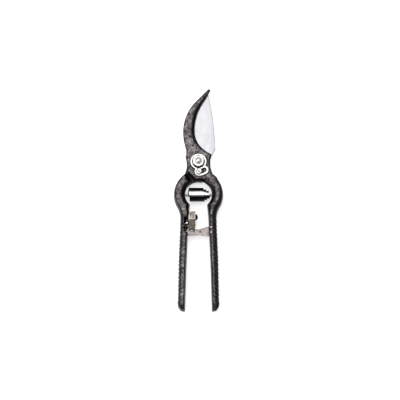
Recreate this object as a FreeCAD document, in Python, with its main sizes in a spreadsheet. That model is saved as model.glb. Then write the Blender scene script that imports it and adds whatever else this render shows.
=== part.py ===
import FreeCAD, Part
import math
import os
import Sketcher

# Forged bypass pruning shears with a volute return spring and a strap catch.
# The shears lie on their back: +Z is the pivot axis and points out of the front
# face, +Y runs along the closed shears to the tip, +X is the hook lever's
# handle side.  The origin is on the pivot axis, on the surface they rest on.
# Every outline is given for the closed position.

vector = FreeCAD.Vector
doc = FreeCAD.newDocument("pruning_shears")

# Driving dimensions, in millimetres and degrees.
sizes = {
    # stack along the pivot, from the surface up
    "boltHeadHeight": 2.6,
    "seatThickness": 3.0,
    "bladeThickness": 2.8,
    "hookThickness": 5.8,
    "lockPlateThickness": 1.8,
    "nutHeight": 5.6,
    "boltEndHeight": 2.4,
    "handleDepth": 16.8,
    # pivot
    "boltHeadRadius": 6.4,
    "boltHeadBevel": 0.6,
    "boltEndRim": 0.8,
    "shankShortfall": 0.3,
    "shankRadius": 4.0,
    "threadRadius": 3.0,
    "runningGap": 0.05,
    "nutFlats": 10.0,
    "nutBevelWidth": 2.0,
    "nutBevelDrop": 1.1,
    # lock plate, its curved slot about the pivot, and its screw
    "plateRadius": 7.4,
    "slotRadius": 9.5,
    "slotHalfWidth": 2.1,
    "lobeHalfWidth": 4.0,
    "slotStartAngle": -88.0,
    "slotEndAngle": -56.0,
    "screwHeadRadius": 2.8,
    "screwHeadHeight": 1.7,
    "screwHeadBevel": 0.4,
    "screwHoleSpare": 0.2,
    "driverSlotWidth": 0.9,
    "driverSlotAngle": -43.0,
    "screwRadius": 1.7,
    "screwLength": 5.0,
    # lever forging
    "bowOuterRadius": 23.9,
    "bowInnerRadius": 12.2,
    "waistRadius": 19.9,
    "toeRadius": 9.5,
    "toeRound": 6.0,
    "neckRadius": 23.0,
    "draftAngle": 8.0,
    "wedgeStart": -24.0,
    "wedgeEnd": -11.0,
    "wedgeOverrun": 4.0,
    "hookBackRadius": 42.4,
    "hookRootRadius": 52.5,
    "mouthLowRadius": 25.4,
    "mouthHighRadius": 46.8,
    "hookTipThickness": 3.4,
    "hookTaperStart": 16.0,
    # blade
    "edgeRadius": 64.5,
    "spineRadius": 306.0,
    "eyeRadius": 10.2,
    "bevelWidth": 5.0,
    "edgeLand": 0.35,
    "shearGap": 0.04,
    "seatGap": 0.25,
    "rivetRadius": 1.5,
    "rivetCircle": 8.3,
    "rivetAngle": 52.0,
    # return spring, wound from strip about a line through both bows
    "springCentreY": -30.0,
    "springOuterRadius": 7.2,
    "stripThickness": 1.0,
    "stripWidth": 13.4,
    "springTurns": 3.0,
    "springGrowth": -1.45,
    "springStart": -9.7,
    "springTravel": 7.2,
    "studRadius": 1.2,
    "studLength": 4.6,
    "studDepth": 2.6,
    "studDome": 0.6,
    # strap between the handles
    "strapThickness": 2.0,
    "strapDimpleRadius": 0.9,
    "strapDimpleDepth": 1.2,
    "strapPinRadius": 1.1,
    "strapSlotGap": 0.25,
    "strapSlotLowGap": 0.75,
    "strapSlotOverrun": 3.0,
    "notchGap": 0.35,
    "pinInset": 0.4,
    # catch on the blade lever's handle
    "catchThickness": 3.0,
    "catchFloor": 9.8,
    "catchPinRadius": 1.4,
    "catchPinHeadRadius": 2.0,
    "catchPinHeadHeight": 0.9,
    "catchPinRim": 0.4,
    "tabStep": 1.3,
    "ribGroovePitch": 1.45,
    "ribGrooveWidth": 0.7,
    "ribGrooveDepth": 0.5,
    "flangeThickness": 1.4,
    "flangeDepth": 8.0,
    "flangeLength": 9.0,
    "buttonRadius": 3.0,
    "buttonHeight": 2.3,
    "buttonRim": 0.6,
    "buttonDrop": 4.6,
    "buttonRise": 1.6,
    "toothRadius": 1.2,
    "toothReach": 0.8,
    "recessGap": 0.3,
    "recessOverrun": 4.0,
    "wellDepth": 4.2,
    "wellRadius": 2.9,
    "catchWire": 0.4,
    "catchWirePitch": 0.92,
    "catchTurns": 3.0,
    "catchCoilRadius": 2.3,
    # lengths of cuts that only have to clear the piece
    "overcut": 2.0,
    "throughAll": 120.0,
}

# Corner points of the outlines, seen from the front.  Points of the bow, neck
# and handle are those of the hook lever, and the blade lever has them mirrored.
corners = {
    "shoulderOuter": (11.9, -9.8),
    "bowEnd": (19.2, -42.3),
    "waist": (16.7, -53.5),
    "handleMiddle": (18.2, -90.0),
    "handleEnd": (18.9, -128.6),
    "toeOuter": (15.9, -138.2),
    "toeInner": (12.1, -139.0),
    "gripInner": (11.0, -100.0),
    "waistInner": (8.9, -50.0),
    "bowMouth": (7.7, -39.06),
    "shoulderInner": (5.9, -18.92),
    "hookTipInner": (11.3, 68.8),
    "hookTipOuter": (9.6, 70.5),
    "hookBack": (-1.1, 59.7),
    "hookBelly": (-14.2, 29.0),
    "hookRoot": (-11.2, 12.0),
    "neckBump": (-11.4, 6.0),
    "neckWaist": (-10.0, -4.6),
    "stopUpper": (-10.7, -8.2),
    "stopLower": (-3.3, -17.85),
    "archInner": (9.4, -21.82),
    "archOuter": (17.6, -15.0),
    "neckRight": (13.2, -11.0),
    "heelCorner": (12.25, 7.4),
    "mouthRoot": (9.5, 9.0),
    "mouthDeep": (-3.8, 31.5),
    "mouthHigh": (3.7, 56.9),
    "bladeTip": (9.0, 66.6),
    "bladeHeel": (15.4, 13.5),
    "bladeNotch": (12.4, 8.0),
    "eyeRight": (10.1, 1.4),
    "eyeBottom": (0.0, -10.2),
    "eyeLeft": (-10.1, 1.4),
    "bladeRoot": (-8.6, 11.0),
    "edgeStart": (-7.0, 18.0),
    "seatUpper": (3.6, 10.6),
    "seatSide": (-8.6, 6.4),
    "strapTipTop": (-11.0, -62.5),
    "strapWaistTop": (0.5, -62.3),
    "strapRootTop": (8.6, -59.7),
    "strapEndTop": (13.6, -59.7),
    "strapEndBottom": (13.6, -68.7),
    "strapRootBottom": (8.6, -68.7),
    "strapWaistBottom": (0.5, -67.5),
    "strapTipBottom": (-11.0, -68.3),
    "strapDimple": (1.6, -64.7),
    "strapPinUpper": (11.6, -61.7),
    "strapPinLower": (11.6, -66.5),
    "catchPivot": (-10.6, -57.2),
    "catchSeatUpper": (-13.3, -52.6),
    "catchSeatLower": (-13.3, -65.4),
    "tabSeat": (-10.2, -45.4),
    "tabTopLeft": (-8.6, -46.8),
    "tabTopRight": (-2.8, -46.2),
    "tabStepRight": (-2.8, -53.8),
    "tabStepLeft": (-8.6, -53.8),
    "tabRootRight": (-2.8, -56.0),
    "footRight": (-2.6, -59.0),
    "footTip": (-3.4, -63.4),
    "footLower": (-8.2, -63.0),
    "footLeft": (-12.4, -58.4),
    "footUpper": (-11.2, -54.8),
    "tabRootLeft": (-8.6, -54.2),
    "tooth": (-4.9, -60.85),
    "notch": (-6.13, -62.28),
    "notchLead": (-5.36, -61.7),
}


def writeSheet():
    sheet = doc.addObject("Spreadsheet::Sheet", "dims")
    cells = dict(sizes)
    for name, (x, y) in corners.items():
        cells[name + "X"] = x
        cells[name + "Y"] = y
    for row, (name, value) in enumerate(cells.items(), 1):
        sheet.set("A%d" % row, name)
        sheet.set("B%d" % row, str(value))
        sheet.setAlias("B%d" % row, name)
    doc.recompute()
    return sheet


sheet = writeSheet()


def size(name):
    return float(sheet.get(name))


def makeBody(label):
    body = doc.addObject("PartDesign::Body", label)
    body.Label = label
    return body


def makeSketch(body, label, plane, lift=None):
    # plane is XY_Plane, XZ_Plane or YZ_Plane; lift moves the sketch along it
    sketch = body.newObject("Sketcher::SketchObject", label)
    origin = [item for item in body.Origin.OriginFeatures if item.Role == plane][0]
    sketch.AttachmentSupport = [(origin, "")]
    sketch.MapMode = "FlatFace"
    if lift:
        sketch.setExpression("AttachmentOffset.Base.z", lift)
    doc.recompute()
    return sketch


def bind(sketch, constraint, expression):
    index = sketch.addConstraint(constraint)
    sketch.setExpression("Constraints[%d]" % index, expression)


def evaluate(expression):
    # the value of an expression over the sheet, for a sketch's first guess
    return float(sheet.evalExpression(expression.replace("dims.", "")))


def polar(radius, angle):
    return ("%s * cos(%s)" % (radius, angle), "%s * sin(%s)" % (radius, angle))


def arcBetween(first, last, radius):
    # a positive radius turns left from first to last, a negative one right
    middle = (first + last) * 0.5
    chord = last - first
    rise = math.sqrt(max(radius * radius - chord.Length ** 2 / 4.0, 0.0))
    left = vector(-chord.y, chord.x, 0).normalize()
    centre = middle + left * math.copysign(rise, radius)
    ends = (first, last) if radius > 0 else (last, first)
    angles = [math.atan2(end.y - centre.y, end.x - centre.x) for end in ends]
    circle = Part.Circle(centre, vector(0, 0, 1), abs(radius))
    return Part.ArcOfCircle(circle, angles[0], angles[1])


def addLoop(sketch, loop):
    # loop: (x expression, y expression, radius expression or "") for each corner,
    # where the radius shapes the edge that leaves it
    points = [vector(evaluate(x), evaluate(y), 0) for x, y, radius in loop]
    first = sketch.GeometryCount
    starts = []
    for number, (x, y, radius) in enumerate(loop):
        here = points[number]
        after = points[(number + 1) % len(points)]
        if radius:
            bend = evaluate(radius)
            sketch.addGeometry(arcBetween(here, after, bend), False)
            starts.append((1, 2) if bend > 0 else (2, 1))
        else:
            sketch.addGeometry(Part.LineSegment(here, after), False)
            starts.append((1, 2))
    for number in range(len(loop)):
        after = (number + 1) % len(loop)
        sketch.addConstraint(Sketcher.Constraint(
            "Coincident", first + number, starts[number][1], first + after, starts[after][0]))
    for number, (x, y, radius) in enumerate(loop):
        edge = first + number
        start = starts[number][0]
        bind(sketch, Sketcher.Constraint("DistanceX", edge, start, points[number].x), x)
        bind(sketch, Sketcher.Constraint("DistanceY", edge, start, points[number].y), y)
        if radius:
            bind(sketch, Sketcher.Constraint("Radius", edge, abs(evaluate(radius))),
                 "abs(%s)" % radius)
    doc.recompute()


def addCircle(sketch, x, y, radius):
    centre = vector(evaluate(x), evaluate(y), 0)
    edge = sketch.addGeometry(Part.Circle(centre, vector(0, 0, 1), evaluate(radius)), False)
    bind(sketch, Sketcher.Constraint("Radius", edge, evaluate(radius)), radius)
    bind(sketch, Sketcher.Constraint("DistanceX", edge, 3, centre.x), x)
    bind(sketch, Sketcher.Constraint("DistanceY", edge, 3, centre.y), y)
    doc.recompute()


def cornerLoop(path, mirrored=False):
    # path: (corner name, radius or ""), the radius signed as for the hook lever
    loop = []
    for name, radius in path:
        x = "dims.%sX" % name
        if mirrored:
            x = "-" + x
            if radius:
                radius = radius[1:] if radius.startswith("-") else "-" + radius
        loop.append((x, "dims.%sY" % name, radius))
    return loop


def extrude(body, sketch, length, kind="Pad", way="up"):
    # way: up along the sketch's normal, down against it, or both, centred
    feature = body.newObject("PartDesign::" + kind, kind.lower() + sketch.Name)
    feature.Profile = sketch
    feature.setExpression("Length", length)
    if way == "both":
        feature.SideType = "Symmetric"
    # a Pocket already runs against the normal, so it is reversed to go up
    feature.Reversed = (way == "down") != (kind == "Pocket" and way != "both")
    sketch.Visibility = False
    doc.recompute()
    return feature


def cut(body, sketch, length, way="up"):
    before = body.Shape.Volume
    feature = extrude(body, sketch, length, "Pocket", way)
    removed = before - body.Shape.Volume
    if removed < 0.01:
        raise RuntimeError("%s in %s cuts nothing" % (sketch.Name, body.Label))
    return feature


def turn(body, sketch, kind="Revolution"):
    feature = body.newObject("PartDesign::" + kind, kind.lower() + sketch.Name)
    feature.Profile = sketch
    feature.ReferenceAxis = (sketch, ["V_Axis"])
    feature.Angle = 360.0
    doc.recompute()
    return feature


# z of the planes that the pieces share
seatTop = "dims.boltHeadHeight + dims.seatThickness"
shearPlane = seatTop + " + dims.bladeThickness"
frontFace = shearPlane + " + dims.hookThickness"
nutTop = frontFace + " + dims.nutHeight"
catchTop = "dims.catchFloor + dims.catchThickness + dims.runningGap"

rivetAngles = ("dims.rivetAngle", "dims.rivetAngle + 180")

bowPath = [
    ("shoulderOuter", "-dims.bowOuterRadius"),
    ("bowEnd", "dims.waistRadius"),
    ("waist", ""),
    ("handleMiddle", ""),
    ("handleEnd", "-dims.toeRadius"),
    ("toeOuter", ""),
    ("toeInner", ""),
    ("gripInner", ""),
    ("waistInner", ""),
    ("bowMouth", "dims.bowInnerRadius"),
    ("shoulderInner", ""),
]

headPath = [
    ("hookTipInner", ""),
    ("hookTipOuter", ""),
    ("hookBack", "dims.hookBackRadius"),
    ("hookBelly", "dims.hookRootRadius"),
    ("hookRoot", ""),
    ("neckBump", ""),
    ("neckWaist", ""),
    ("stopUpper", ""),
    ("stopLower", "-dims.bowInnerRadius"),
    ("archInner", ""),
    ("archOuter", "dims.bowOuterRadius"),
    ("neckRight", "-dims.neckRadius"),
    ("heelCorner", ""),
    ("mouthRoot", "-dims.mouthLowRadius"),
    ("mouthDeep", "-dims.mouthHighRadius"),
    ("mouthHigh", ""),
]

seatPath = [
    ("stopUpper", ""),
    ("stopLower", "-dims.bowInnerRadius"),
    ("archInner", ""),
    ("archOuter", "dims.bowOuterRadius"),
    ("neckRight", "-dims.neckRadius"),
    ("heelCorner", ""),
    ("seatUpper", ""),
    ("seatSide", ""),
]

bladePath = [
    ("bladeTip", "-dims.spineRadius"),
    ("bladeHeel", ""),
    ("bladeNotch", ""),
    ("eyeRight", "-dims.eyeRadius"),
    ("eyeBottom", "-dims.eyeRadius"),
    ("eyeLeft", ""),
    ("bladeRoot", ""),
    ("edgeStart", "-dims.edgeRadius"),
]


def cutHandleProfile(body):
    # seen from the side: wedges off both faces at the neck, rounded toe corners
    sketch = makeSketch(body, "profile", "YZ_Plane")
    over = "dims.handleDepth + dims.overcut"
    clear = "dims.wedgeEnd + dims.wedgeOverrun"
    addLoop(sketch, [
        ("dims.wedgeStart", "dims.handleDepth", ""),
        ("dims.wedgeStart", over, ""),
        (clear, over, ""),
        (clear, frontFace, ""),
        ("dims.wedgeEnd", frontFace, ""),
    ])
    addLoop(sketch, [
        ("dims.wedgeStart", "0", ""),
        ("dims.wedgeEnd", "dims.boltHeadHeight", ""),
        (clear, "dims.boltHeadHeight", ""),
        (clear, "-dims.overcut", ""),
        ("dims.wedgeStart", "-dims.overcut", ""),
    ])
    for level, sign in (("dims.handleDepth", "-"), ("0", "+")):
        outside = "%s %s dims.overcut" % (level, "+" if sign == "-" else "-")
        addLoop(sketch, [
            ("dims.toeInnerY + dims.toeRound", level, ""),
            ("dims.toeInnerY + dims.toeRound", outside, ""),
            ("dims.toeInnerY - dims.overcut", outside, ""),
            ("dims.toeInnerY - dims.overcut", "%s %s dims.toeRound" % (level, sign), ""),
            ("dims.toeInnerY", "%s %s dims.toeRound" % (level, sign),
             "-dims.toeRound" if sign == "-" else "dims.toeRound"),
        ])
    cut(body, sketch, "dims.throughAll", "both")


def makeHandle(body, mirrored):
    # bow and handle: two drafted halves that meet at the forging's parting line
    sketch = makeSketch(body, "bow", "XY_Plane", shearPlane)
    addLoop(sketch, cornerLoop(bowPath, mirrored))
    for way in ("up", "down"):
        half = extrude(body, sketch, "dims.handleDepth / 2", way=way)
        half.setExpression("TaperAngle", "-dims.draftAngle")
        doc.recompute()
    cutHandleProfile(body)


def addBore(body, x, y, radius, label):
    sketch = makeSketch(body, label, "XY_Plane")
    addCircle(sketch, x, y, radius)
    cut(body, sketch, "dims.throughAll", "both")


def cutStrapSlot(body, side):
    # slot in the handle's inner side, at the level of the strap
    sketch = makeSketch(body, "strapSlot", "XY_Plane", shearPlane)
    left = "%s(dims.waistInnerX - dims.strapSlotOverrun)" % side
    right = "%s(dims.strapEndTopX + dims.strapSlotGap)" % side
    addLoop(sketch, [
        (left, "dims.strapRootTopY + dims.strapSlotGap", ""),
        (right, "dims.strapRootTopY + dims.strapSlotGap", ""),
        (right, "dims.strapEndBottomY - dims.strapSlotLowGap", ""),
        (left, "dims.strapEndBottomY - dims.strapSlotLowGap", ""),
    ])
    cut(body, sketch, "dims.strapThickness + 2 * dims.strapSlotGap", "both")


def makeHookLever():
    body = makeBody("hook_lever")
    makeHandle(body, False)
    sketch = makeSketch(body, "head", "XY_Plane", shearPlane)
    addLoop(sketch, cornerLoop(headPath))
    extrude(body, sketch, "dims.hookThickness")
    taper = makeSketch(body, "hookTaper", "YZ_Plane")
    addLoop(taper, [
        ("dims.hookTaperStart", frontFace, ""),
        ("dims.hookTipOuterY + dims.overcut / 2", shearPlane + " + dims.hookTipThickness", ""),
        ("dims.hookTipOuterY + dims.overcut / 2", frontFace + " + dims.overcut", ""),
        ("dims.hookTaperStart", frontFace + " + dims.overcut", ""),
    ])
    cut(body, taper, "dims.throughAll", "both")
    addBore(body, "0", "0", "dims.shankRadius + dims.runningGap", "pivotBore")
    screw = polar("dims.slotRadius", "dims.slotStartAngle")
    hole = makeSketch(body, "screwHole", "XY_Plane", frontFace)
    addCircle(hole, screw[0], screw[1], "dims.screwRadius")
    cut(body, hole, "dims.screwLength - dims.lockPlateThickness + dims.screwHoleSpare", "down")
    cutStrapSlot(body, "")
    for name in ("strapPinUpper", "strapPinLower"):
        addBore(body, "dims.%sX" % name, "dims.%sY" % name, "dims.strapPinRadius", name + "Hole")
    addStudHole(body, "")
    return body


def addStudHole(body, side):
    # blind hole in the bow's inner wall for the spring's stud
    sketch = makeSketch(body, "studHole", "YZ_Plane", "%s(dims.bowInnerRadius - dims.overcut)" % side)
    addCircle(sketch, "dims.springCentreY", shearPlane, "dims.studRadius")
    cut(body, sketch, "dims.studDepth + dims.overcut", "down" if side else "up")


def makeBladeLever():
    body = makeBody("blade_lever")
    makeHandle(body, True)
    sketch = makeSketch(body, "seat", "XY_Plane", shearPlane)
    addLoop(sketch, cornerLoop(seatPath, True))
    extrude(body, sketch, "dims.bladeThickness + dims.seatThickness", way="down")
    # the blade's seat: its eye, and everything above the pivot
    seat = makeSketch(body, "bladeSeat", "XY_Plane", seatTop)
    addCircle(seat, "0", "0", "dims.eyeRadius + dims.seatGap")
    cut(body, seat, "dims.bladeThickness + dims.overcut")
    upper = makeSketch(body, "bladeSeatUpper", "XY_Plane", seatTop)
    addLoop(upper, [
        ("-dims.bowOuterRadius", "dims.neckWaistY", ""),
        ("dims.bowOuterRadius", "dims.neckWaistY", ""),
        ("dims.bowOuterRadius", "dims.bladeTipY", ""),
        ("-dims.bowOuterRadius", "dims.bladeTipY", ""),
    ])
    cut(body, upper, "dims.bladeThickness + dims.overcut")
    addBore(body, "0", "0", "dims.shankRadius + dims.runningGap", "pivotBore")
    for number, angle in enumerate(rivetAngles):
        x, y = polar("dims.rivetCircle", angle)
        addBore(body, x, y, "dims.rivetRadius", "rivetHole%d" % number)
    cutStrapSlot(body, "-")
    # recess that the catch turns in, open to the front and to the inner side, and
    # shallower beside the tab
    recess = makeSketch(body, "catchSeat", "XY_Plane", "dims.catchFloor - dims.recessGap")
    clear = "dims.recessOverrun - dims.waistInnerX"
    addLoop(recess, [
        ("dims.catchSeatUpperX", "dims.catchSeatUpperY", ""),
        ("dims.tabSeatX", "dims.catchSeatUpperY", ""),
        ("dims.tabSeatX", "dims.tabSeatY", ""),
        (clear, "dims.tabSeatY", ""),
        (clear, "dims.catchSeatLowerY", ""),
        ("dims.catchSeatLowerX", "dims.catchSeatLowerY", ""),
    ])
    cut(body, recess, "dims.handleDepth")
    addSpringWell(body)
    addStudHole(body, "-")
    return body


def addSpringWell(body):
    # round well under the catch for its spring, with the pin's hole below it
    well = makeSketch(body, "springWell", "XY_Plane", "dims.catchFloor - dims.wellDepth")
    addCircle(well, "dims.catchPivotX", "dims.catchPivotY", "dims.wellRadius")
    cut(body, well, "dims.wellDepth")
    addBore(body, "dims.catchPivotX", "dims.catchPivotY", "dims.catchPinRadius", "catchPinHole")


def grindBevel(body):
    # cone ground off the back face along the edge, about the edge arc's centre
    tip = vector(size("bladeTipX"), size("bladeTipY"), 0)
    root = vector(size("edgeStartX"), size("edgeStartY"), 0)
    arc = arcBetween(root, tip, -size("edgeRadius"))
    ends = [math.atan2(end.y - arc.Center.y, end.x - arc.Center.x) for end in (root, tip)]
    ends = [end % (2 * math.pi) for end in ends]
    middle = math.degrees(sum(ends) / 2.0)
    span = math.degrees(abs(ends[0] - ends[1]))
    sketch = makeSketch(body, "bevel", "XZ_Plane")
    sketch.AttachmentOffset = FreeCAD.Placement(
        vector(arc.Center.x, 0, -arc.Center.y),
        FreeCAD.Rotation(vector(0, 1, 0), middle - 180.0))
    slope = "(dims.bladeThickness - dims.shearGap - dims.edgeLand)"
    addLoop(sketch, [
        ("dims.bevelWidth - dims.edgeRadius", seatTop, ""),
        ("-dims.edgeRadius", seatTop + " + " + slope, ""),
        ("-dims.edgeRadius - dims.bevelWidth", seatTop + " + " + slope, ""),
        ("-dims.edgeRadius - dims.bevelWidth", seatTop + " - dims.overcut", ""),
        ("dims.bevelWidth - dims.edgeRadius", seatTop + " - dims.overcut", ""),
    ])
    before = body.Shape.Volume
    groove = body.newObject("PartDesign::Groove", "edgeBevel")
    groove.Profile = sketch
    groove.ReferenceAxis = (sketch, ["V_Axis"])
    groove.Midplane = True
    groove.Angle = span + size("overcut")
    doc.recompute()
    if body.Shape.Volume >= before:
        raise RuntimeError("the bevel cuts nothing")


def makeBlade():
    body = makeBody("blade")
    sketch = makeSketch(body, "outline", "XY_Plane", seatTop)
    addLoop(sketch, cornerLoop(bladePath))
    extrude(body, sketch, "dims.bladeThickness - dims.shearGap")
    grindBevel(body)
    addBore(body, "0", "0", "dims.shankRadius + dims.runningGap", "pivotBore")
    for number, angle in enumerate(rivetAngles):
        x, y = polar("dims.rivetCircle", angle)
        addBore(body, x, y, "dims.rivetRadius", "rivetHole%d" % number)
    return body


def makeCylinder(name, radius, height, x, y, z):
    cylinder = doc.addObject("Part::Cylinder", name)
    cylinder.setExpression("Radius", radius)
    cylinder.setExpression("Height", height)
    cylinder.setExpression("Placement.Base.x", x)
    cylinder.setExpression("Placement.Base.y", y)
    cylinder.setExpression("Placement.Base.z", z)
    return cylinder


def makeGroup(label, pieces):
    group = doc.addObject("Part::Compound", label)
    group.Label = label
    group.Links = pieces
    doc.recompute()
    return group


def makeRivets():
    pieces = []
    height = "dims.seatThickness + dims.bladeThickness - dims.shearGap"
    for number, angle in enumerate(rivetAngles):
        x, y = polar("dims.rivetCircle", angle)
        pieces.append(makeCylinder("rivet%d" % number, "dims.rivetRadius", height, x, y,
                                   "dims.boltHeadHeight"))
    return makeGroup("blade_rivets", pieces)


def makeStrapPins():
    pieces = []
    height = "dims.handleDepth - 2 * dims.pinInset"
    for name in ("strapPinUpper", "strapPinLower"):
        pieces.append(makeCylinder(name + "Pin", "dims.strapPinRadius", height,
                                   "dims.%sX" % name, "dims.%sY" % name, "dims.pinInset"))
    return makeGroup("strap_pins", pieces)


def makeTurned(label, loop):
    # a turned piece on the Z axis: loop is its half section, radius and height
    body = makeBody(label)
    sketch = makeSketch(body, "section", "XZ_Plane")
    addLoop(sketch, loop)
    turn(body, sketch)
    return body


def domeRadius(base, rise):
    # sphere through a cap's rim and its crown
    return "((%s)^2 + (%s)^2) / (2 * (%s))" % (base, rise, rise)


def makeBolt():
    return makeTurned("pivot_bolt", [
        ("0", "0", ""),
        ("dims.boltHeadRadius - dims.boltHeadBevel", "0", ""),
        ("dims.boltHeadRadius", "dims.boltHeadBevel", ""),
        ("dims.boltHeadRadius", "dims.boltHeadHeight", ""),
        ("dims.shankRadius", "dims.boltHeadHeight", ""),
        ("dims.shankRadius", frontFace + " - dims.shankShortfall", ""),
        ("dims.threadRadius", frontFace + " - dims.shankShortfall", ""),
        ("dims.threadRadius", nutTop + " + dims.boltEndRim",
         domeRadius("dims.threadRadius", "dims.boltEndHeight - dims.boltEndRim")),
        ("0", nutTop + " + dims.boltEndHeight", ""),
    ])


def hexagonLoop(flats, angle):
    corner = "%s / 2 / cos(30)" % flats
    return [polar(corner, "%s + %d" % (angle, 60 * step)) + ("",) for step in range(6)]


def makeNut():
    body = makeBody("pivot_nut")
    sketch = makeSketch(body, "hexagon", "XY_Plane", frontFace)
    addLoop(sketch, hexagonLoop("dims.nutFlats", "30"))
    extrude(body, sketch, "dims.nutHeight")
    corner = makeSketch(body, "cornerChamfer", "XZ_Plane")
    addLoop(corner, [
        ("dims.nutFlats / 2", nutTop, ""),
        ("dims.nutFlats / 2 + dims.nutBevelWidth", nutTop, ""),
        ("dims.nutFlats / 2 + dims.nutBevelWidth", nutTop + " - dims.nutBevelDrop", ""),
    ])
    turn(body, corner, "Groove")
    addBore(body, "0", "0", "dims.threadRadius", "thread")
    return body


# a half circle's radius is given this much over, so that its centre can be found
arcSpare = "1.0001"


def sectorLoop(halfWidth):
    # curved slot shape about the pivot: two arcs about it and two round ends
    inner = "(dims.slotRadius - %s)" % halfWidth
    outer = "(dims.slotRadius + %s)" % halfWidth
    return [
        polar(outer, "dims.slotStartAngle") + (outer,),
        polar(outer, "dims.slotEndAngle") + (halfWidth + " * " + arcSpare,),
        polar(inner, "dims.slotEndAngle") + ("-" + inner,),
        polar(inner, "dims.slotStartAngle") + (halfWidth + " * " + arcSpare,),
    ]


def makeLockPlate():
    body = makeBody("lock_plate")
    disc = makeSketch(body, "disc", "XY_Plane", frontFace)
    addCircle(disc, "0", "0", "dims.plateRadius")
    extrude(body, disc, "dims.lockPlateThickness")
    lobe = makeSketch(body, "lobe", "XY_Plane", frontFace)
    addLoop(lobe, sectorLoop("dims.lobeHalfWidth"))
    extrude(body, lobe, "dims.lockPlateThickness")
    # a twelve-point hole: two hexagons, half a flat apart
    for number, angle in enumerate(("30", "0")):
        hexagon = makeSketch(body, "point%d" % number, "XY_Plane", frontFace)
        addLoop(hexagon, hexagonLoop("(dims.nutFlats + 2 * dims.runningGap)", angle))
        cut(body, hexagon, "dims.lockPlateThickness")
    slot = makeSketch(body, "slot", "XY_Plane", frontFace)
    addLoop(slot, sectorLoop("dims.slotHalfWidth"))
    cut(body, slot, "dims.lockPlateThickness")
    return body


def makeLockScrew():
    low = "dims.lockPlateThickness"
    high = low + " + dims.screwHeadHeight"
    body = makeTurned("lock_screw", [
        ("0", low + " - dims.screwLength", ""),
        ("dims.screwRadius", low + " - dims.screwLength", ""),
        ("dims.screwRadius", low, ""),
        ("dims.screwHeadRadius", low, ""),
        ("dims.screwHeadRadius", high + " - dims.screwHeadBevel", ""),
        ("dims.screwHeadRadius - dims.screwHeadBevel", high, ""),
        ("0", high, ""),
    ])
    slot = makeSketch(body, "driverSlot", "XY_Plane", low + " + dims.screwHeadHeight / 2")
    half = "dims.driverSlotWidth / 2"
    end = "dims.screwHeadRadius * 2"
    addLoop(slot, [
        ("-" + end, "-" + half, ""),
        (end, "-" + half, ""),
        (end, half, ""),
        ("-" + end, half, ""),
    ])
    cut(body, slot, "dims.screwHeadHeight")
    x, y = polar("dims.slotRadius", "dims.slotStartAngle")
    body.Placement = FreeCAD.Placement(vector(0, 0, 0),
                                       FreeCAD.Rotation(vector(0, 0, 1), size("driverSlotAngle")))
    body.setExpression("Placement.Base.x", x)
    body.setExpression("Placement.Base.y", y)
    body.setExpression("Placement.Base.z", frontFace)
    doc.recompute()
    return body


def makeSpring():
    # flat strip wound into a cone of overlapping turns
    body = makeBody("return_spring")
    sketch = makeSketch(body, "strip", "XZ_Plane")
    inner = "dims.springOuterRadius - dims.stripThickness"
    addLoop(sketch, [
        (inner, "0", ""),
        ("dims.springOuterRadius", "0", ""),
        ("dims.springOuterRadius", "dims.stripWidth", ""),
        (inner, "dims.stripWidth", ""),
    ])
    coil = body.newObject("PartDesign::AdditiveHelix", "coil")
    coil.Profile = sketch
    coil.ReferenceAxis = (sketch, ["V_Axis"])
    coil.Mode = "height-turns-growth"
    coil.setExpression("Height", "dims.springTravel")
    coil.setExpression("Turns", "dims.springTurns")
    coil.setExpression("Growth", "dims.springGrowth")
    body.Placement = FreeCAD.Placement(vector(0, 0, 0), FreeCAD.Rotation(vector(0, 1, 0), 90))
    body.setExpression("Placement.Base.x", "dims.springStart")
    body.setExpression("Placement.Base.y", "dims.springCentreY")
    body.setExpression("Placement.Base.z", shearPlane)
    doc.recompute()
    return body


def makeStud(label, side):
    # pin in the bow's wall with a domed end inside the spring
    body = makeTurned(label, [
        ("0", "0", ""),
        ("dims.studRadius", "0", ""),
        ("dims.studRadius", "dims.studDepth + dims.studLength - dims.studDome",
         domeRadius("dims.studRadius", "dims.studDome")),
        ("0", "dims.studDepth + dims.studLength", ""),
    ])
    body.Placement = FreeCAD.Placement(vector(0, 0, 0),
                                       FreeCAD.Rotation(vector(0, 1, 0), -90 * side))
    body.setExpression("Placement.Base.x", "%d * (dims.bowInnerRadius + dims.studDepth)" % side)
    body.setExpression("Placement.Base.y", "dims.springCentreY")
    body.setExpression("Placement.Base.z", shearPlane)
    doc.recompute()
    return body


def makeStrap():
    body = makeBody("strap")
    sketch = makeSketch(body, "outline", "XY_Plane", shearPlane)
    addLoop(sketch, cornerLoop([
        ("strapTipTop", ""), ("strapTipBottom", ""), ("strapWaistBottom", ""),
        ("strapRootBottom", ""), ("strapEndBottom", ""), ("strapEndTop", ""),
        ("strapRootTop", ""), ("strapWaistTop", ""),
    ]))
    extrude(body, sketch, "dims.strapThickness", way="both")
    dimple = makeSketch(body, "dimple", "XY_Plane", shearPlane + " + dims.strapThickness / 2")
    addCircle(dimple, "dims.strapDimpleX", "dims.strapDimpleY", "dims.strapDimpleRadius")
    cut(body, dimple, "dims.strapDimpleDepth", "down")
    # notch that the catch's tooth drops into, widened where the tooth comes in
    for name in ("notch", "notchLead"):
        addBore(body, "dims.%sX" % name, "dims.%sY" % name, "dims.toothRadius + dims.notchGap", name)
    for name in ("strapPinUpper", "strapPinLower"):
        addBore(body, "dims.%sX" % name, "dims.%sY" % name, "dims.strapPinRadius", name + "Hole")
    return body


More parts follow.
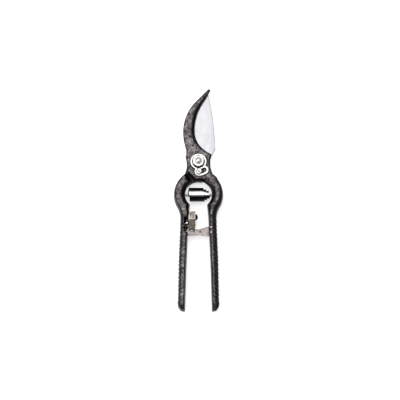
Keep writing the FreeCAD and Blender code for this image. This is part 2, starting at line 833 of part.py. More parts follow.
def makeCatch():
    body = makeBody("catch_lever")
    sketch = makeSketch(body, "boot", "XY_Plane", "dims.catchFloor")
    addLoop(sketch, cornerLoop([
        ("tabTopLeft", ""), ("tabRootLeft", ""), ("footUpper", ""), ("footLeft", ""),
        ("footLower", ""), ("footTip", ""), ("footRight", ""), ("tabRootRight", ""),
        ("tabTopRight", ""),
    ]))
    extrude(body, sketch, "dims.catchThickness")
    # raised thumb tab, grooved along its length
    top = "dims.catchFloor + dims.catchThickness"
    tab = makeSketch(body, "tab", "XY_Plane", top)
    addLoop(tab, cornerLoop([
        ("tabTopLeft", ""), ("tabStepLeft", ""), ("tabStepRight", ""), ("tabTopRight", ""),
    ]))
    extrude(body, tab, "dims.tabStep")
    for number in (1, 2, 3):
        middle = "dims.tabTopLeftX + %d * dims.ribGroovePitch" % number
        groove = makeSketch(body, "groove%d" % number, "XY_Plane",
                            top + " + dims.tabStep - dims.ribGrooveDepth")
        left = middle + " - dims.ribGrooveWidth / 2"
        right = middle + " + dims.ribGrooveWidth / 2"
        addLoop(groove, [
            (left, "dims.tabTopRightY + dims.overcut", ""),
            (left, "dims.tabStepLeftY + dims.ribGrooveWidth", ""),
            (right, "dims.tabStepLeftY + dims.ribGrooveWidth", ""),
            (right, "dims.tabTopRightY + dims.overcut", ""),
        ])
        cut(body, groove, "dims.tabStep")
    # thumb flange folded back along the tab's outer edge
    flange = makeSketch(body, "flange", "XY_Plane", top)
    addLoop(flange, [
        ("dims.tabTopRightX - dims.flangeThickness", "dims.tabTopRightY", ""),
        ("dims.tabTopRightX", "dims.tabTopRightY", ""),
        ("dims.tabTopRightX", "dims.tabTopRightY - dims.flangeLength", ""),
        ("dims.tabTopRightX - dims.flangeThickness", "dims.tabTopRightY - dims.flangeLength", ""),
    ])
    extrude(body, flange, "dims.flangeDepth", way="down")
    tooth = makeSketch(body, "tooth", "XY_Plane", "dims.catchFloor")
    addCircle(tooth, "dims.toothX", "dims.toothY", "dims.toothRadius")
    extrude(body, tooth, "dims.catchFloor - dims.handleDepth / 2 + dims.toothReach", way="down")
    addBore(body, "dims.catchPivotX", "dims.catchPivotY",
            "dims.catchPinRadius + dims.runningGap", "pinBore")
    return body


def makeCatchPin():
    body = makeTurned("catch_pin", [
        ("0", "dims.pinInset", ""),
        ("dims.catchPinRadius", "dims.pinInset", ""),
        ("dims.catchPinRadius", catchTop, ""),
        ("dims.catchPinHeadRadius", catchTop, ""),
        ("dims.catchPinHeadRadius", catchTop + " + dims.catchPinRim",
         domeRadius("dims.catchPinHeadRadius", "dims.catchPinHeadHeight")),
        ("0", catchTop + " + dims.catchPinRim + dims.catchPinHeadHeight", ""),
    ])
    body.setExpression("Placement.Base.x", "dims.catchPivotX")
    body.setExpression("Placement.Base.y", "dims.catchPivotY")
    doc.recompute()
    return body


def makeButton():
    # domed thumb button on the flange, its axis along X
    body = makeTurned("catch_button", [
        ("0", "0", ""),
        ("dims.buttonRadius", "0", ""),
        ("dims.buttonRadius", "dims.buttonRim",
         domeRadius("dims.buttonRadius", "dims.buttonHeight - dims.buttonRim")),
        ("0", "dims.buttonHeight", ""),
    ])
    body.Placement = FreeCAD.Placement(vector(0, 0, 0), FreeCAD.Rotation(vector(0, 1, 0), 90))
    body.setExpression("Placement.Base.x", "dims.tabTopRightX")
    body.setExpression("Placement.Base.y", "dims.tabTopRightY - dims.buttonDrop")
    body.setExpression("Placement.Base.z", "dims.catchFloor - dims.buttonRadius + dims.buttonRise")
    doc.recompute()
    return body


def makeCatchSpring():
    # torsion coil round the catch pin, in the well
    body = makeBody("catch_spring")
    sketch = makeSketch(body, "wire", "XZ_Plane")
    addCircle(sketch, "dims.catchCoilRadius", "0", "dims.catchWire")
    coil = body.newObject("PartDesign::AdditiveHelix", "coil")
    coil.Profile = sketch
    coil.ReferenceAxis = (sketch, ["V_Axis"])
    coil.Mode = "pitch-turns-angle"
    coil.setExpression("Pitch", "dims.catchWirePitch")
    coil.setExpression("Turns", "dims.catchTurns")
    body.setExpression("Placement.Base.x", "dims.catchPivotX")
    body.setExpression("Placement.Base.y", "dims.catchPivotY")
    body.setExpression("Placement.Base.z",
                       "dims.catchFloor - dims.wellDepth + dims.catchWire + dims.runningGap")
    doc.recompute()
    return body


def buildAll():
    return [
        makeHookLever(),
        makeBladeLever(),
        makeBlade(),
        makeRivets(),
        makeBolt(),
        makeNut(),
        makeLockPlate(),
        makeLockScrew(),
        makeSpring(),
        makeStud("spring_stud_front", 1),
        makeStud("spring_stud_rear", -1),
        makeStrap(),
        makeStrapPins(),
        makeCatch(),
        makeCatchPin(),
        makeButton(),
        makeCatchSpring(),
    ]


def checkAndWrite(pieces):
    doc.recompute()
    failed = [item.Name for item in doc.Objects if {"Invalid", "Error"} & set(item.State)]
    for piece in pieces:
        if piece.Shape.isNull() or not piece.Shape.isValid():
            failed.append(piece.Label)
    if failed:
        raise RuntimeError("failed: " + ", ".join(failed))
    os.makedirs("parts", exist_ok=True)
    for piece in pieces:
        piece.Shape.exportStep("parts/%s.step" % piece.Label)
        print(piece.Label, round(piece.Shape.Volume, 1), len(piece.Shape.Solids))


checkAndWrite(buildAll())
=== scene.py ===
import math
import bpy
import numpy as np
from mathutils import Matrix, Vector
from mathutils.kdtree import KDTree


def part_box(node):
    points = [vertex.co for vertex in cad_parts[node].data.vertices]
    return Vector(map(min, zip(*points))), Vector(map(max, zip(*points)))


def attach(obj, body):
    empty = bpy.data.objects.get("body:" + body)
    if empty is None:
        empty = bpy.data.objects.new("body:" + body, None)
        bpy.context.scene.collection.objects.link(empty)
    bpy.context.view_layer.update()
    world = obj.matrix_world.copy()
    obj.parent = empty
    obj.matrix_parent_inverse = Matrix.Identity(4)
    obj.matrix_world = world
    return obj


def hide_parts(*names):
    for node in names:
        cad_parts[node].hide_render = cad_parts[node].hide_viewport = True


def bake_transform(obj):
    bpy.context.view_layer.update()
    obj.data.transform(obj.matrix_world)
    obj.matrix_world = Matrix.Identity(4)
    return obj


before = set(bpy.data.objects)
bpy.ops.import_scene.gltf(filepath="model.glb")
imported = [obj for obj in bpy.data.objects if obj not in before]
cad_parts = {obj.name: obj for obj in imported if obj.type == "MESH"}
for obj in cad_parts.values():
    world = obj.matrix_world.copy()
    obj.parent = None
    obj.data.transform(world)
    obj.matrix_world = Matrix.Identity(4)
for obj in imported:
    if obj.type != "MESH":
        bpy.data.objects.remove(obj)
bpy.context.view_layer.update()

mm = 0.001
print("frame loaded:", len(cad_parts), "pieces")


# ---- small helpers

def hexColour(code):
    # sRGB hex to the linear colour that a shader takes
    parts = [int(code[i:i + 2], 16) / 255.0 for i in (1, 3, 5)]
    linear = [part / 12.92 if part <= 0.04045 else ((part + 0.055) / 1.055) ** 2.4
              for part in parts]
    return (*linear, 1.0)


def perSize(millimetres):
    # texture scale for a feature of this size, on coordinates in metres
    return 1000.0 / millimetres


def addNode(tree, kind, settings=None, links=None):
    # settings: socket or property name to value; links: input name to an output socket
    node = tree.nodes.new(kind)
    for name, value in (settings or {}).items():
        if name in node.inputs:
            node.inputs[name].default_value = value
        else:
            setattr(node, name, value)
    for name, socket in (links or {}).items():
        tree.links.new(socket, node.inputs[name])
    return node


def newMaterial(name):
    material = bpy.data.materials.new(name)
    material.use_nodes = True
    material.node_tree.nodes.clear()
    return material, material.node_tree


def addRamp(tree, factor, stops):
    # stops: places from 0 to 1 with their hex colours
    ramp = addNode(tree, "ShaderNodeValToRGB", links={"Fac": factor})
    elements = ramp.color_ramp.elements
    while len(elements) < len(stops):
        elements.new(0.5)
    for element, (place, code) in zip(elements, stops):
        element.position = place
        element.color = hexColour(code)
    return ramp.outputs["Color"]


def closeMaterial(tree, shader):
    addNode(tree, "ShaderNodeOutputMaterial", links={"Surface": shader.outputs[0]})


def addBump(tree, height, strength, depth):
    return addNode(tree, "ShaderNodeBump", {"Strength": strength, "Distance": depth},
                   {"Height": height}).outputs[0]


def objectPlace(tree):
    return addNode(tree, "ShaderNodeTexCoord").outputs["Object"]


def partOf(tree, vector, axis):
    return addNode(tree, "ShaderNodeSeparateXYZ", links={"Vector": vector}).outputs[axis]


def mapRange(tree, value, settings):
    return addNode(tree, "ShaderNodeMapRange", settings, {"Value": value}).outputs[0]


def onlySelect(piece):
    bpy.ops.object.select_all(action="DESELECT")
    piece.select_set(True)
    bpy.context.view_layer.objects.active = piece


def setMaterial(piece, material):
    piece.data.materials.clear()
    piece.data.materials.append(material)


mergeDistance = 0.002 * mm


def copyNode(nodeName, pieceName):
    # a merged copy of a CAD node, ready for modelling
    piece = bpy.data.objects.new(pieceName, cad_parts[nodeName].data.copy())
    bpy.context.scene.collection.objects.link(piece)
    onlySelect(piece)
    bpy.ops.object.mode_set(mode="EDIT")
    bpy.ops.mesh.select_all(action="SELECT")
    bpy.ops.mesh.customdata_custom_splitnormals_clear()
    bpy.ops.mesh.remove_doubles(threshold=mergeDistance)
    bpy.ops.object.mode_set(mode="OBJECT")
    return piece


def applyModifier(piece, kind, settings):
    onlySelect(piece)
    modifier = piece.modifiers.new(kind.title(), kind)
    for name, value in settings.items():
        setattr(modifier, name, value)
    bpy.ops.object.modifier_apply(modifier=modifier.name)


def smoothShade(piece, degrees):
    onlySelect(piece)
    bpy.ops.object.shade_smooth_by_angle(angle=math.radians(degrees))


def finishPiece(piece, material, body, nodeName):
    setMaterial(piece, material)
    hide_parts(nodeName)
    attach(piece, body)


# ---- materials

def addMath(tree, operation, first, second):
    # first and second: an output socket or a number
    node = addNode(tree, "ShaderNodeMath", {"operation": operation})
    for number, value in enumerate((first, second)):
        if isinstance(value, (int, float)):
            node.inputs[number].default_value = value
        else:
            tree.links.new(value, node.inputs[number])
    return node.outputs[0]


def addMix(tree, share, first, second):
    # share, first and second: an output socket or a hex colour
    node = addNode(tree, "ShaderNodeMix", {"data_type": "RGBA"})
    for number, value in ((0, share), (6, first), (7, second)):
        if isinstance(value, str):
            node.inputs[number].default_value = hexColour(value)
        else:
            tree.links.new(value, node.inputs[number])
    return node.outputs[2]


noiseRoughness = 0.62


def addNoise(tree, place, size, detail, distortion=0.0):
    # size: of one feature, in mm
    settings = {"Scale": perSize(size), "Detail": detail, "Roughness": noiseRoughness,
                "Distortion": distortion}
    return addNode(tree, "ShaderNodeTexNoise", settings, {"Vector": place}).outputs["Fac"]


def faceShare(tree, limits):
    # 0 on the flanks and 1 on faces square to the pivot's axis; the mask that paints light and
    # shade by facing
    normal = addNode(tree, "ShaderNodeNewGeometry").outputs["Normal"]
    upright = addMath(tree, "ABSOLUTE", partOf(tree, normal, "Z"), 0.0)
    return mapRange(tree, upright, {"From Min": limits[0], "From Max": limits[1]})


def crevices(tree, reach, limits):
    # 0 deep in a corner and 1 in the open; the mask for painted shade in corners
    openness = addNode(tree, "ShaderNodeAmbientOcclusion",
                       {"Distance": reach, "samples": 8}).outputs["AO"]
    return mapRange(tree, openness, {"From Min": limits[0], "From Max": limits[1]})


forgedValues = {
    "patchSize": 3.0,            # cloudy scale, in mm
    "gritSize": 0.8,
    # face ramp: painted light on the faces square to the pivot; flank ramp: painted shade on
    # the sides
    "face": ((0.13, "#191618"), (0.21, "#4c4548"), (0.29, "#857d81"), (0.40, "#c6bdc0")),
    "flank": ((0.16, "#010101"), (0.30, "#060505"), (0.45, "#1a1718")),
    "faceLimits": (0.80, 0.98),
    # painted shade, near black, in the hollows and corners
    "hollowShade": "#020202",
    "hollowShadeReach": 4.0 * mm,
    "hollowShadeLimits": (0.45, 0.85),
    "scale": "#1c1615",          # brown-black on the hook's tip and the toes, by Y
    "scaleShare": 0.8,
    "scaleRuns": ((58 * mm, 67 * mm), (-128 * mm, -135 * mm)),
    "rough": (0.38, 0.62),
    "bumpStrength": 0.4,
    "bumpDepth": 0.12 * mm,
}


def forgedBlack(values):
    # drop-forged black steel under clear lacquer, with light and shade painted in: the
    # flanks near black as painted shade, the front faces greyer as painted light, the hollows
    # darker as painted shade
    material, tree = newMaterial("forgedBlackSteel")
    place = objectPlace(tree)
    patches = addNoise(tree, place, values["patchSize"], 5.0, 0.4)
    grit = addNoise(tree, place, values["gritSize"], 3.0)
    both = addMath(tree, "MULTIPLY", patches, grit)
    # light and shade painted by facing: flank ramp on the sides, face ramp on the faces
    colour = addMix(tree, faceShare(tree, values["faceLimits"]),
                    addRamp(tree, both, values["flank"]), addRamp(tree, both, values["face"]))
    # painted shade in the hollows, by ambient occlusion
    colour = addMix(tree, crevices(tree, values["hollowShadeReach"], values["hollowShadeLimits"]),
                    values["hollowShade"], colour)
    for first, last in values["scaleRuns"]:
        share = mapRange(tree, partOf(tree, place, "Y"),
                         {"From Min": first, "From Max": last, "To Max": values["scaleShare"]})
        colour = addMix(tree, share, colour, values["scale"])
    smooth, rough = values["rough"]
    shader = addNode(tree, "ShaderNodeBsdfPrincipled",
                     {"Metallic": 0.3, "Coat Weight": 0.06, "Coat Roughness": 0.3,
                      "Specular IOR Level": 0.2},
                     {"Base Color": colour,
                      "Roughness": mapRange(tree, patches, {"To Min": smooth, "To Max": rough}),
                      "Normal": addBump(tree, grit, values["bumpStrength"],
                                        values["bumpDepth"])})
    closeMaterial(tree, shader)
    return material


metalValues = {
    # shared by all the worked metals
    "cloudSize": 5.0,
    "rampStops": (0.15, 0.32),
    "faceLimits": (0.88, 0.96),
    # fade and stops of the painted highlight and shade on the catch
    "litFade": 0.9 * mm,
    "shadedStops": (0.35, 0.65),
    # reach and limits of the painted shade in corners
    "cornerShadeReach": 2.2 * mm,
    "cornerShadeLimits": (0.35, 0.8),
    "roughSpread": (0.75, 1.3),
    "bumpStrength": 0.3,
}


def metal(values, shared):
    # a worked metal surface: fine marks of one direction over faint clouding, with
    # painted shade in the corners and, if asked for, a flank colour that paints light and shade
    # by facing
    material, tree = newMaterial(values["name"])
    place = objectPlace(tree)
    along = addNode(tree, "ShaderNodeMapping", {"Scale": values["stretch"]}, {"Vector": place})
    marks = addNoise(tree, along.outputs[0], values["grain"], 4.0)
    clouds = addNoise(tree, place, shared["cloudSize"], 3.0)
    colour = addRamp(tree, addMath(tree, "MULTIPLY", marks, clouds),
                     list(zip(shared["rampStops"], (values["dark"], values["light"]))))
    # light and shade painted by facing: the flank colour on the sides, the ramp on the faces
    if "flank" in values:
        colour = addMix(tree, faceShare(tree, shared["faceLimits"]), values["flank"], colour)
    if "shadedTone" in values:
        # painted highlight on the thumb tab above this line, and painted shade on the foot
        # below
        litShare = mapRange(tree, partOf(tree, place, "Y"),
                        {"From Min": values["litFrom"] - shared["litFade"],
                         "From Max": values["litFrom"]})
        shadedColour = addRamp(tree, marks,
                       list(zip(shared["shadedStops"], (values["shadedTone"], values["dark"]))))
        colour = addMix(tree, litShare, shadedColour, colour)
    # painted shade in the corners, by ambient occlusion
    if "cornerShade" in values:
        colour = addMix(tree, crevices(tree, shared["cornerShadeReach"], shared["cornerShadeLimits"]),
                        values["cornerShade"], colour)
    smooth, rough = (values["rough"] * spread for spread in shared["roughSpread"])
    shader = addNode(tree, "ShaderNodeBsdfPrincipled",
                     {"Metallic": values.get("metallic", 1.0)},
                     {"Base Color": colour,
                      "Roughness": mapRange(tree, marks, {"To Min": smooth, "To Max": rough}),
                      "Normal": addBump(tree, marks, shared["bumpStrength"],
                                        values["depth"] * mm)})
    closeMaterial(tree, shader)
    return material


plasticValues = {
    "grainSize": 0.5,
    "colours": ((0.3, "#050505"), (0.7, "#141313")),
    "rough": 0.45,
    "bumpStrength": 0.2,
    "bumpDepth": 0.05 * mm,
}


def mouldedBlack(values):
    # moulded plastic, satin from the tool's texture
    material, tree = newMaterial("mouldedBlackPlastic")
    grain = addNoise(tree, objectPlace(tree), values["grainSize"], 2.0)
    shader = addNode(tree, "ShaderNodeBsdfPrincipled", {"Roughness": values["rough"]},
                     {"Base Color": addRamp(tree, grain, values["colours"]),
                      "Normal": addBump(tree, grain, values["bumpStrength"],
                                        values["bumpDepth"])})
    closeMaterial(tree, shader)
    return material


metals = {
    # grain and depth in mm
    # bright ground steel, with fine marks across the blade and painted shade on its edges
    "ground": {"name": "groundSteel", "light": "#b4b3b7", "dark": "#aaa9ad",
               "flank": "#2a282d", "grain": 0.35, "stretch": (0.12, 1.6, 1.0),
               "rough": 0.30, "depth": 0.012},
    # nickel-chrome plate: near white, mirror-like, painted shade on its flanks and in its
    # corners
    "plated": {"name": "nickelChromePlate", "light": "#d2d1cf", "dark": "#b5b3ae",
               "flank": "#57544f", "cornerShade": "#0d0b0a", "grain": 0.5,
               "stretch": (1.0, 1.0, 1.0), "rough": 0.12, "depth": 0.01},
    # the same plate on a turned face, satin from the tool, painted shade in its corners
    "satin": {"name": "satinTurnedPlate", "light": "#eceae8", "dark": "#c9c7c4",
              "cornerShade": "#0d0b0a", "grain": 0.4, "stretch": (1.0, 1.0, 1.0), "rough": 0.42,
              "depth": 0.01},
    # zinc-plated sheet: pale warm grey, soft sheen, rolled along its length, painted shade in
    # its corners
    "zinc": {"name": "zincPlatedSheet", "light": "#b3aaa8", "dark": "#8a807e",
             "cornerShade": "#4a4341", "grain": 0.6, "stretch": (0.3, 1.3, 1.0), "rough": 0.45,
             "depth": 0.03, "metallic": 0.7},
    # nickel plate, brown-grey, with a painted highlight on the thumb tab and painted shade on
    # the foot and in its corners
    "nickel": {"name": "nickelPlatePaintedLight", "light": "#c4bab0", "dark": "#6b6055",
               "shadedTone": "#2f2823", "litFrom": -53.6 * mm, "cornerShade": "#1a1512",
               "grain": 0.7, "stretch": (1.4, 0.3, 1.0), "rough": 0.34, "depth": 0.04,
               "metallic": 0.85},
    # blued spring steel, dark, with a painted highlight along its crest
    "blued": {"name": "bluedSpringSteel", "light": "#d0cfd4", "dark": "#a5a3aa",
              "flank": "#221f26", "grain": 0.5, "stretch": (1.0, 0.2, 0.2), "rough": 0.2,
              "depth": 0.01},
}

materials = {name: metal(values, metalValues) for name, values in metals.items()}
materials["forged"] = forgedBlack(forgedValues)
materials["plastic"] = mouldedBlack(plasticValues)
print("materials made:", len(materials))


# ---- forged levers

leverValues = {
    "voxel": 0.45 * mm,          # grain of the remeshed skin
    "smoothFactor": 0.5,
    "smoothing": 6,
    "stepSmoothing": 70,         # where the hook's head runs into the bow
    "stepLow": (2, -22, 12.0),   # opposite corners in mm, open upward
    "stepHigh": (14, -8.5),
    "tipFrom": 60.0,             # the hook's thin end is smoothed less, from this Y in mm
    "tipSmoothing": 0.2,
    # width of the rolled edge, by height along Y: on the side of the lever's own
    # handle (the palm side below, the mouth side of the hook above), and opposite
    "nearRoll": {
        1: ((-139, 6.6), (-60, 6.6), (-46, 3.6), (-20, 2.4), (-8, 1.8), (8, 1.8),
            (20, 3.8), (52, 3.4), (64, 1.6), (68, 0.5)),
        -1: ((-139, 1.9), (-64, 1.9), (-56, 2.6), (-46, 1.8), (-38, 1.2), (-8, 1.2)),
    },
    "farRoll": ((-139, 1.1), (-50, 1.2), (-41, 3.6), (-18, 3.8), (-8, 1.3), (64, 1.2),
                (68, 0.4)),
    "rollFall": 0.72,            # fall over width
    "rollPower": 1.35,
    "wallNormal": 0.5,           # a wall's normal rises less than this
    "faceNormal": 0.8,           # and a face's more than this
    "frontFrom": 9.5 * mm,       # front faces lie above this
    "backTo": 5.0 * mm,          # and back faces below this
    "rimDepth": 1.0 * mm,        # a wall counts only where it comes up to the face
    "faceReach": 2.0 * mm,       # how far beside a face the skin still follows it
    # round holes whose rims stay sharp: x, y, radius
    "keepSharp": ((0.0, 0.0, 5.5), (0.3, -9.5, 2.6), (11.6, -61.7, 1.7),
                  (11.6, -66.5, 1.7)),
    "recess": (-66.0, -45.0),    # the catch's recess, along Y in mm, with a small roll
    "recessRoll": 0.6 * mm,
    # the recess again, cut clean through the skin: opposite corners in mm
    "recessBoxes": (((-13.4, -65.5, 9.45), (-4.0, -52.5, 20.0)),
                    ((-10.4, -53.0, 9.45), (-4.0, -45.2, 20.0))),
    "hammerSize": 3.4 * mm,      # hammer marks and scale pits
    "hammerDepth": 0.20 * mm,
    "pitSize": 1.0 * mm,
    "pitDepth": 0.10 * mm,
    "markOctaves": 2,
    "markMiddle": 0.62,
    "ribTop": -55.0 * mm,        # diagonal grooves on the palm side
    "ribBottom": -133.0 * mm,
    "ribPitch": 3.9 * mm,
    "ribSlant": 0.85,
    "ribDepth": 0.55 * mm,
    "ribSharpness": 1.9,
    "ribWidth": 4.6 * mm,
    "ribSideFade": 1.5 * mm,
    "ribEndFade": 4 * mm,
    "ribOuterY": (-0.1386, -0.1286, -0.0535),
    "ribOuterX": (0.0159, 0.0189, 0.0167),     # the handle's outer edge at those heights
    "shadeAngle": 60,
}


def vertexData(piece, name):
    values = np.empty(len(piece.data.vertices) * 3)
    piece.data.vertices.foreach_get(name, values)
    return values.reshape(-1, 3)


def moveVertices(piece, points):
    piece.data.vertices.foreach_set("co", points.ravel())
    piece.data.update()


def nearestOf(points, chosen):
    # index of the chosen vertex nearest to each vertex as seen along Z, and how far
    tree = KDTree(len(chosen))
    for index in chosen:
        tree.insert((points[index, 0], points[index, 1], 0.0), int(index))
    tree.balance()
    found = [tree.find((x, y, 0.0)) for x, y, _ in points]
    return np.array([item[1] for item in found]), np.array([item[2] for item in found])


def rollEdges(piece, side, values):
    # the front and back faces fall away toward their outline; side is +1 or -1 in X
    points = vertexData(piece, "co")
    facing = vertexData(piece, "normal")
    wall = np.abs(facing[:, 2]) < values["wallNormal"]
    for x, y, radius in values["keepSharp"]:
        distance = np.hypot(points[:, 0] - x * mm, points[:, 1] - y * mm)
        wall &= distance > radius * mm
    y = points[:, 1] / mm
    near = np.interp(y, *zip(*values["nearRoll"][side]))
    far = np.interp(y, *zip(*values["farRoll"]))
    recess = values["recess"]
    for sign, level in ((1, values["frontFrom"]), (-1, -values["backTo"])):
        reaching = np.nonzero(wall & (points[:, 2] * sign > level + values["rimDepth"]))[0]
        nearest, distance = nearestOf(points, reaching)
        # 1 where the nearest wall looks out toward the lever's own side, 0 opposite
        outward = np.clip(facing[nearest, 0] * side / 0.8 + 0.5, 0, 1)
        width = (near * outward + far * (1 - outward)) * mm
        inRecess = (side < 0) & (outward < 0.5) & (y > recess[0]) & (y < recess[1])
        width[inRecess] = values["recessRoll"]
        share = np.clip(1 - distance / width, 0, 1) ** values["rollPower"]
        fall = share * width * values["rollFall"]
        height = points[:, 2] * sign
        onFace = (facing[:, 2] * sign > values["faceNormal"]) & (height > level)
        nearFace, away = nearestOf(points, np.nonzero(onFace)[0])
        active = (height > level) & (away < values["faceReach"])
        lowered = np.minimum(height, height[nearFace] - fall)
        points[active, 2] = lowered[active] * sign
    moveVertices(piece, points)


def cutRibs(piece, side, values):
    # slanting grooves across the palm side
    points = vertexData(piece, "co")
    facing = vertexData(piece, "normal")
    x, y = points[:, 0], points[:, 1]
    outer = np.interp(y, values["ribOuterY"], values["ribOuterX"])
    outward = np.clip((x * side - outer + values["ribWidth"]) / values["ribSideFade"], 0, 1)
    middle = (values["ribTop"] + values["ribBottom"]) / 2
    half = (values["ribTop"] - values["ribBottom"]) / 2
    inside = np.clip((half - np.abs(y - middle)) / values["ribEndFade"], 0, 1)
    phase = (y + values["ribSlant"] * x) / values["ribPitch"] * 2 * math.pi
    groove = np.clip(np.cos(phase), 0, 1) ** values["ribSharpness"]
    points -= facing * (groove * outward * inside * values["ribDepth"])[:, None]
    moveVertices(piece, points)


def displace(piece, label, size, depth, values):
    texture = bpy.data.textures.new(label, "CLOUDS")
    texture.noise_scale = size
    texture.noise_depth = values["markOctaves"]
    applyModifier(piece, "DISPLACE", {
        "texture": texture, "texture_coords": "LOCAL", "strength": depth,
        "mid_level": values["markMiddle"]})


def smoothGroup(piece, name, chosen, iterations, values):
    # chosen: pairs of a vertex mask and its weight
    group = piece.vertex_groups.new(name=name)
    for mask, weight in chosen:
        group.add(np.nonzero(mask)[0].tolist(), weight, "REPLACE")
    applyModifier(piece, "SMOOTH", {"factor": values["smoothFactor"],
                                    "iterations": iterations, "vertex_group": name})


def cutBox(piece, low, high):
    # opposite corners in mm
    middle = [(a + b) / 2 * mm for a, b in zip(low, high)]
    bpy.ops.object.select_all(action="DESELECT")
    bpy.ops.mesh.primitive_cube_add(size=1, location=middle)
    cutter = bpy.context.active_object
    cutter.scale = [(b - a) * mm for a, b in zip(low, high)]
    bpy.ops.object.transform_apply(location=True, rotation=True, scale=True)
    applyModifier(piece, "BOOLEAN", {"operation": "DIFFERENCE", "solver": "EXACT",
                                     "object": cutter})
    bpy.data.objects.remove(cutter)


def forgedLever(nodeName, pieceName, body, side, values):
    piece = copyNode(nodeName, pieceName)
    applyModifier(piece, "REMESH", {"mode": "VOXEL", "voxel_size": values["voxel"]})
    rollEdges(piece, side, values)
    applyModifier(piece, "REMESH", {"mode": "VOXEL", "voxel_size": values["voxel"]})
    points = vertexData(piece, "co") / mm
    if side > 0:
        inStep = ((points > values["stepLow"]).all(axis=1)
                  & (points[:, :2] < values["stepHigh"]).all(axis=1))
        smoothGroup(piece, "step", [(inStep, 1.0)], values["stepSmoothing"], values)
    tip = points[:, 1] >= values["tipFrom"]
    smoothGroup(piece, "soft", [(~tip, 1.0), (tip, values["tipSmoothing"])],
                values["smoothing"], values)
    cutRibs(piece, side, values)
    for label in ("hammer", "pit"):
        displace(piece, pieceName + label.title(), values[label + "Size"],
                 values[label + "Depth"], values)
    if side < 0:
        for low, high in values["recessBoxes"]:
            cutBox(piece, low, high)
    low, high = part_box(nodeName)
    moveVertices(piece, np.clip(vertexData(piece, "co"), np.array(low), np.array(high)))
    smoothShade(piece, values["shadeAngle"])
    finishPiece(piece, materials["forged"], body, nodeName)
    print(pieceName, "faces:", len(piece.data.polygons))


forgedLever("hook_lever", "hookLeverForging", "hook_side", 1, leverValues)
forgedLever("blade_lever", "bladeLeverForging", "blade_side", -1, leverValues)


# ---- machined and pressed pieces: CAD shapes with their sharp edges broken

softened = [
    # node, body, material, slot, edge width in mm
    ("blade", "blade_side", "ground", "ground_steel", 0.45),
    ("blade_rivets", "blade_side", "ground", "ground_steel", 0.10),
    ("pivot_bolt", "hook_side", "satin", "plated_steel", 0.25),
    ("pivot_nut", "hook_side", "plated", "plated_steel", 0.25),
    ("lock_plate", "hook_side", "plated", "plated_steel", 0.32),
    ("lock_screw", "hook_side", "plated", "plated_steel", 0.16),
    ("spring_stud_front", "hook_side", "ground", "ground_steel", 0.10),
    ("spring_stud_rear", "blade_side", "ground", "ground_steel", 0.10),
    ("strap", "hook_side", "zinc", "zinc_steel", 0.22),
    ("strap_pins", "hook_side", "zinc", "zinc_steel", 0.15),
    ("catch_lever", "catch", "nickel", "catch_steel", 0.28),
    ("catch_pin", "blade_side", "plated", "catch_steel", 0.15),
    ("catch_button", "catch", "plastic", "black_plastic", 0.25),
]

edgeValues = {
    "flatWithin": 0.6,           # degrees: facets merged into one flat
    "edgeFrom": 32,              # degrees: corners that are rounded
    "segments": 3,
    "shadeAngle": 28,
    "unclamped": ("blade",),     # its edge would otherwise stop the rounding everywhere
}


def softenedPiece(nodeName, body, material, slot, width, values):
    piece = copyNode(nodeName, nodeName + "Finished")
    onlySelect(piece)
    bpy.ops.object.mode_set(mode="EDIT")
    bpy.ops.mesh.select_all(action="SELECT")
    bpy.ops.mesh.dissolve_limited(angle_limit=math.radians(values["flatWithin"]))
    bpy.ops.object.mode_set(mode="OBJECT")
    applyModifier(piece, "BEVEL", {
        "width": width * mm, "segments": values["segments"], "limit_method": "ANGLE",
        "angle_limit": math.radians(values["edgeFrom"]), "miter_outer": "MITER_ARC",
        "use_clamp_overlap": nodeName not in values["unclamped"]})
    smoothShade(piece, values["shadeAngle"])
    finishPiece(piece, materials[material], body, nodeName)


for row in softened:
    softenedPiece(*row, edgeValues)
print("softened pieces:", len(softened))


# ---- springs

springValues = {"stripShade": 40, "coilShade": 60}      # degrees

springPiece = copyNode("return_spring", "returnSpringStrip")
smoothShade(springPiece, springValues["stripShade"])
setMaterial(springPiece, materials["blued"])
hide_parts("return_spring")
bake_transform(springPiece)

coilPiece = copyNode("catch_spring", "catchSpringCoil")
smoothShade(coilPiece, springValues["coilShade"])
finishPiece(coilPiece, materials["blued"], "blade_side", "catch_spring")
print("springs done")


# ---- floor, light and camera

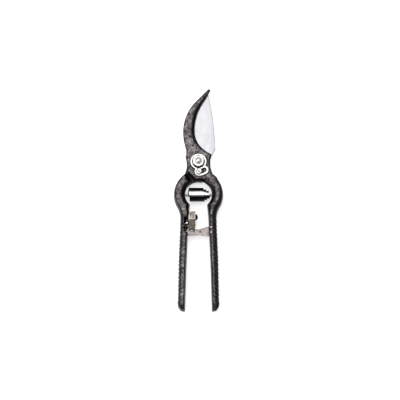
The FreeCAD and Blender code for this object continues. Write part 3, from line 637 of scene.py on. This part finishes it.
stageValues = {
    "floorSize": 3.0,
    "glow": 0.6,                 # backlight of the sheet
    "skyStrength": 0.25,
    "elevation": 77.0,           # degrees, seen from the handles' end
    "distance": 2.4,
    "target": (1.4 * mm, -34.6 * mm, 8.4 * mm),
    "fieldWidth": 367.0 * mm,
    "sensor": 36.0,
    "clipEnd": 20,
    "lightTarget": (0, -0.03, 0),
    # name, place, size and power in watts
    "lights": (("topSoftbox", (-0.05, 0.19, 1.0), (1.0, 1.0), 6.5),
               ("keyLight", (-0.8, -0.2, 0.6), (0.4, 0.6), 4.0)),
}


def makeFloor(values):
    bpy.ops.object.select_all(action="DESELECT")
    bpy.ops.mesh.primitive_plane_add(size=values["floorSize"], location=(0, 0, 0))
    floor = bpy.context.active_object
    floor.name = "floor"
    material, tree = newMaterial("palePaper")
    # backlit white sheet, so that the piece throws hardly any shadow
    shader = addNode(tree, "ShaderNodeBsdfPrincipled",
                     {"Base Color": hexColour("#f7f7f6"), "Roughness": 0.9,
                      "Specular IOR Level": 0.1, "Emission Color": hexColour("#ffffff"),
                      "Emission Strength": values["glow"]})
    closeMaterial(tree, shader)
    setMaterial(floor, material)


def areaLight(name, place, size, power, target):
    data = bpy.data.lights.new(name, "AREA")
    data.shape = "RECTANGLE"
    data.size, data.size_y = size
    data.energy = power
    light = bpy.data.objects.new(name, data)
    bpy.context.scene.collection.objects.link(light)
    light.location = place
    toTarget = Vector(target) - Vector(place)
    light.rotation_euler = toTarget.to_track_quat("-Z", "Y").to_euler()


def makeWorld(values):
    world = bpy.data.worlds.new("studio")
    world.use_nodes = True
    background = world.node_tree.nodes["Background"]
    background.inputs["Color"].default_value = hexColour("#ffffff")
    background.inputs["Strength"].default_value = values["skyStrength"]
    bpy.context.scene.world = world


def makeCamera(values):
    angle = math.radians(values["elevation"])
    toward = Vector((0, -math.cos(angle), math.sin(angle)))
    data = bpy.data.cameras.new("camera")
    data.sensor_width = values["sensor"]
    data.lens = values["sensor"] * values["distance"] / values["fieldWidth"]
    data.clip_end = values["clipEnd"]
    camera = bpy.data.objects.new("camera", data)
    bpy.context.scene.collection.objects.link(camera)
    camera.location = Vector(values["target"]) + toward * values["distance"]
    camera.rotation_euler = (-toward).to_track_quat("-Z", "Y").to_euler()
    bpy.context.scene.camera = camera


makeFloor(stageValues)
makeWorld(stageValues)
for row in stageValues["lights"]:
    areaLight(*row, stageValues["lightTarget"])
makeCamera(stageValues)
bpy.context.scene.view_settings.view_transform = "Standard"
print("stage ready")
